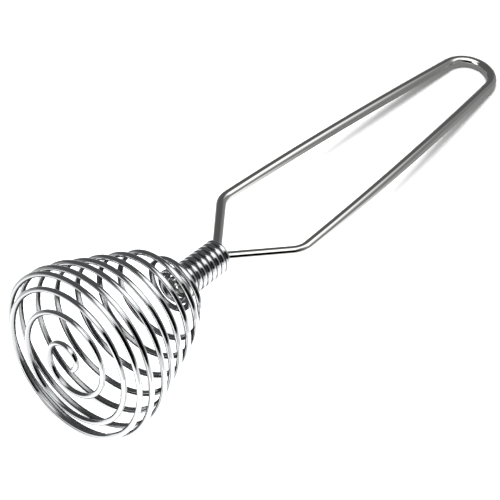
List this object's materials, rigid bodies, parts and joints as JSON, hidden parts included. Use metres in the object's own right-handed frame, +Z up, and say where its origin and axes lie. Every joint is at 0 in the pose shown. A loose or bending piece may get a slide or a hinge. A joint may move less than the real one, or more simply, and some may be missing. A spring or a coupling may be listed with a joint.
{
  "type": "french whisk",
  "caption": "Spring whisk: a bell of coiled chromed wire with a flat spiral base, wound at the neck onto a bent rod loop handle. The head presses and sways.",
  "frame": {"origin": "the point of the worktop under the middle of the whisk, as it lies on its rim and its hairpin end", "axes": "+X from the head to the hairpin end, +Y to the left leg seen from the head, +Z up"},
  "size_m": [0.2116, 0.0584, 0.0585],
  "materials": {
    "chromed_rod": "bright chrome plate on drawn steel rod",
    "chromed_wire": "bright chrome plate on spring steel wire"
  },
  "bodies": {
    "handle": {"handle_rod": "chromed_rod", "neck_winding": "chromed_wire"},
    "bell": {"bell_spring": "chromed_wire"},
    "head": {"rim_turns": "chromed_wire", "base_spiral": "chromed_wire"}
  },
  "joints": [
    {"name": "head_sway", "type": "hinge", "parent": "handle", "child": "bell", "pos_m": [-0.05252, 0.00019, 0.02299], "axis": [0.1346, 0, 0.9909], "range_deg": [-15, 15], "stiffness_Nm_per_rad": 0.1, "deforming": ["bell_spring"]},
    {"name": "head_press", "type": "slide", "parent": "bell", "child": "head", "axis": [0.9909, 0, -0.1346], "range_m": [-0.006, 0.01], "stiffness_N_per_m": 150, "deforming": ["bell_spring"]}
  ]
}
